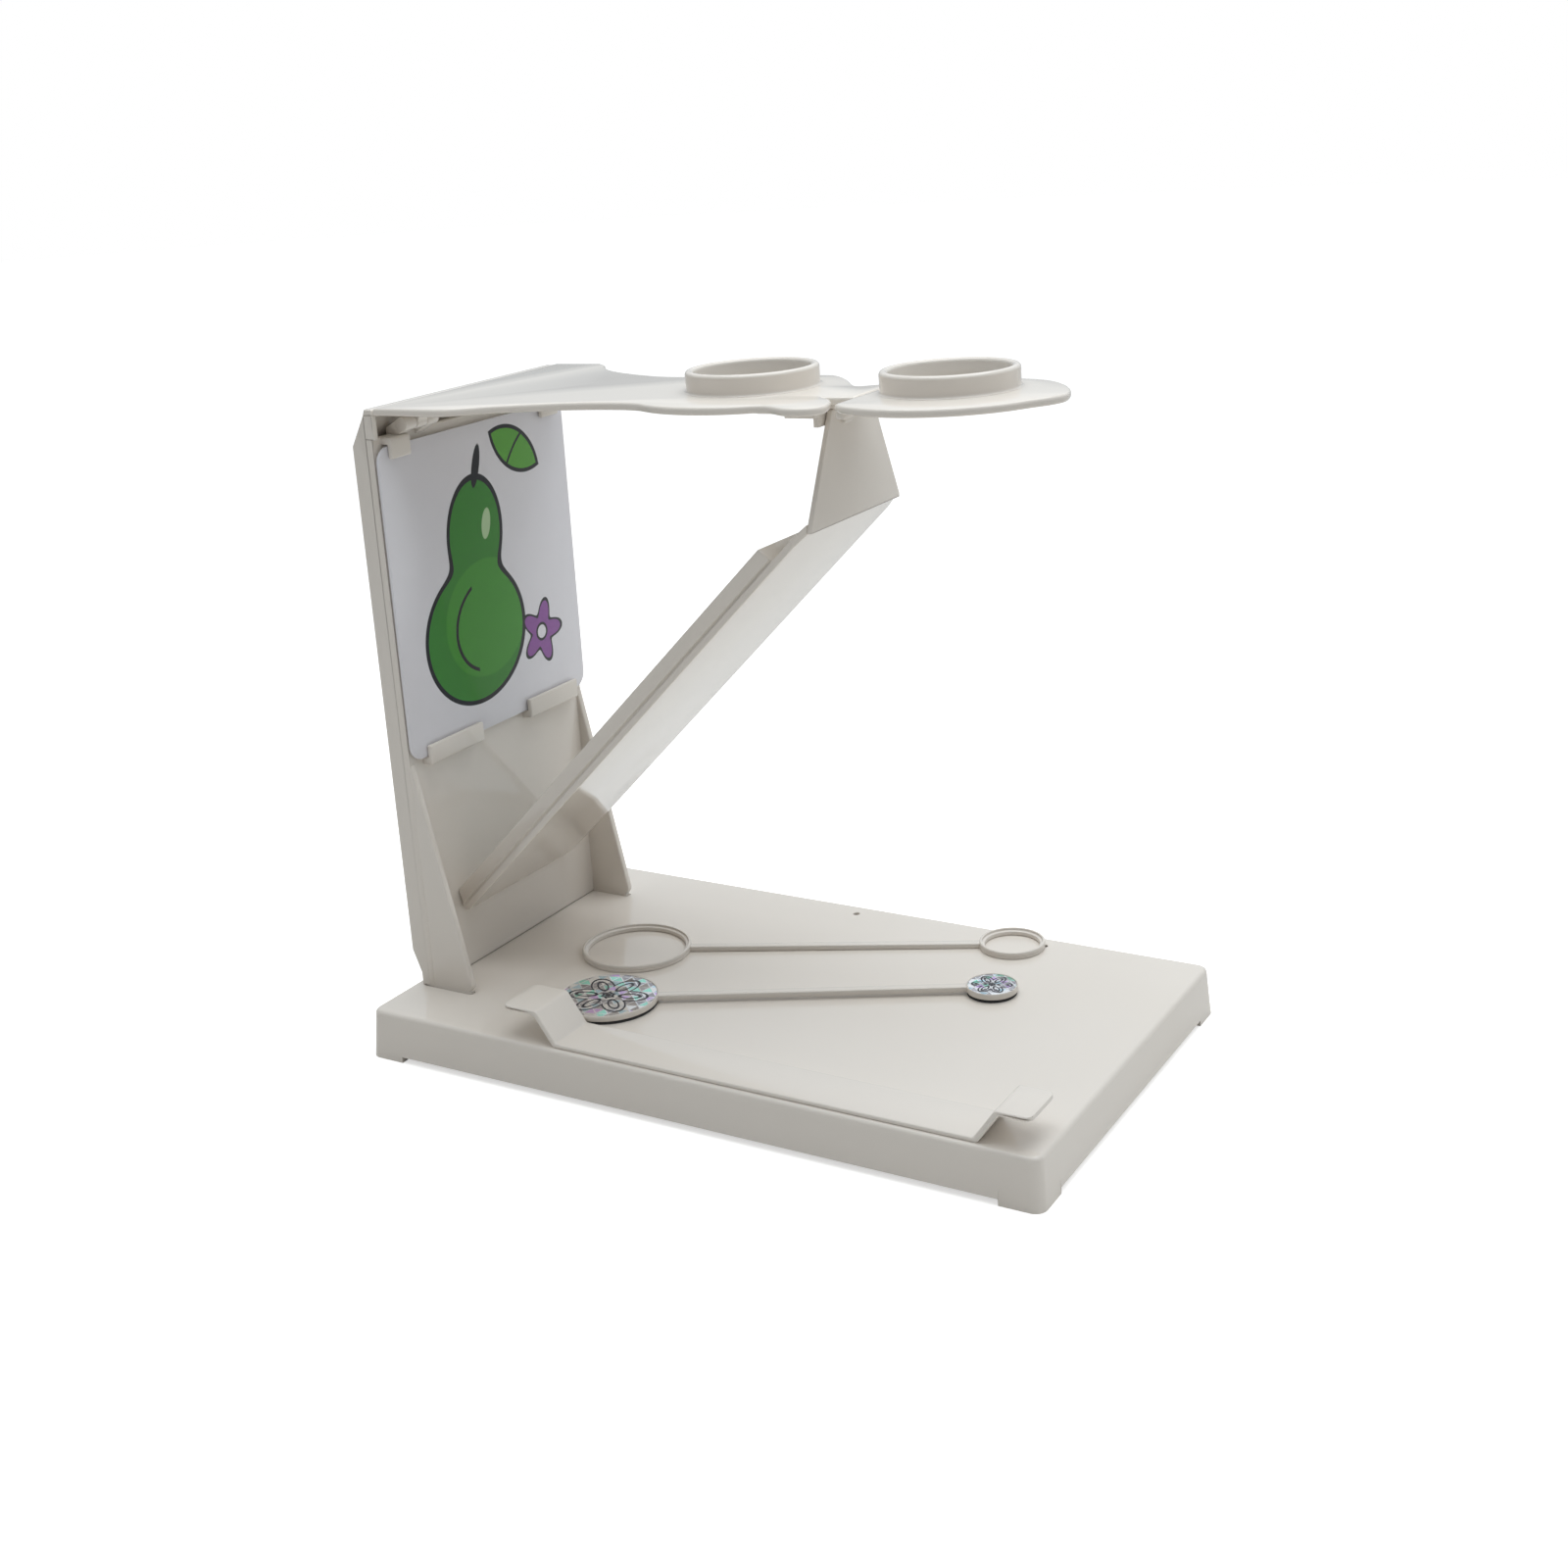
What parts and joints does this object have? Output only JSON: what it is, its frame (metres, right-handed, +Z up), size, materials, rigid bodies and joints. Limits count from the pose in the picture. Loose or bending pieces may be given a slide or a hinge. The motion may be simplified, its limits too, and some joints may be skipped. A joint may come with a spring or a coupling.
{
  "type": "cheiroscope",
  "caption": "Table-top cheiroscope in ivory plastic: upright with picture card, hinged arm with lensed eyecups, slanted mirror panel, base with paper clip, and pointer wands.",
  "frame": {"origin": "middle of the base's footprint, on the table", "axes": "+X from the upright to the free end of the base, +Y away from the user, +Z up"},
  "size_m": [0.2328, 0.1392, 0.214],
  "materials": {
    "ivory_plastic": "glossy moulded",
    "steel_hardware": "zinc-plated",
    "printed_card": "satin laminated print",
    "lens_glass": "polished",
    "mirror_face": "polished",
    "black_pad": "matt",
    "prism_foil": "prismatic foil"
  },
  "bodies": {
    "base": {"base_shell": "ivory_plastic"},
    "upright": {"upright_rear_shell": "ivory_plastic", "upright_front_panel": "ivory_plastic", "panel_screws": "steel_hardware", "arm_hinge_pins": "steel_hardware", "mirror_hinge_rod": "steel_hardware"},
    "card": {"picture_card": "printed_card"},
    "arm": {"arm_plate": "ivory_plastic", "slide_cover": "ivory_plastic", "cover_screws": "steel_hardware", "left_eyecup": "ivory_plastic", "left_lens": "lens_glass", "left_lens_retainer": "ivory_plastic"},
    "right_eyepiece": {"right_eyepiece_plate": "ivory_plastic", "right_eyecup": "ivory_plastic", "right_lens": "lens_glass", "right_lens_retainer": "ivory_plastic"},
    "mirror_panel": {"mirror_back_plate": "ivory_plastic", "mirror_frame": "ivory_plastic", "mirror_glass": "mirror_face", "septum": "ivory_plastic"},
    "clip": {"paper_clip": "ivory_plastic"},
    "ring_pointer": {"ring_wand": "ivory_plastic"},
    "disc_pointer": {"disc_wand": "ivory_plastic", "large_disc_pad": "black_pad", "small_disc_pad": "black_pad", "large_disc_foil": "prism_foil", "small_disc_foil": "prism_foil"}
  },
  "joints": [
    {"name": "upright_lift", "type": "slide", "parent": "base", "child": "upright", "axis": [0, 0, 1], "range_m": [0, 0.03]},
    {"name": "card_slide", "type": "slide", "parent": "upright", "child": "card", "axis": [0, 1, 0], "range_m": [0, 0.1]},
    {"name": "arm_hinge", "type": "hinge", "parent": "upright", "child": "arm", "pos_m": [-0.10285, 0, 0.1978], "axis": [0, -1, 0], "range_deg": [0, 5]},
    {"name": "eyepiece_slide", "type": "slide", "parent": "arm", "child": "right_eyepiece", "axis": [0.9998, 0, 0.0209], "range_m": [0, 0.008]},
    {"name": "mirror_swing", "type": "hinge", "parent": "upright", "child": "mirror_panel", "pos_m": [-0.1045, 0, 0.03887], "axis": [0, 1, 0], "range_deg": [0, 22]},
    {"name": "clip_lift", "type": "slide", "parent": "base", "child": "clip", "axis": [0, 0, 1], "range_m": [0, 0.012]},
    {"name": "ring_wand_lift", "type": "slide", "parent": "base", "child": "ring_pointer", "axis": [0, 0, 1], "range_m": [0, 0.012]},
    {"name": "disc_wand_lift", "type": "slide", "parent": "base", "child": "disc_pointer", "axis": [0, 0, 1], "range_m": [0, 0.012]}
  ]
}
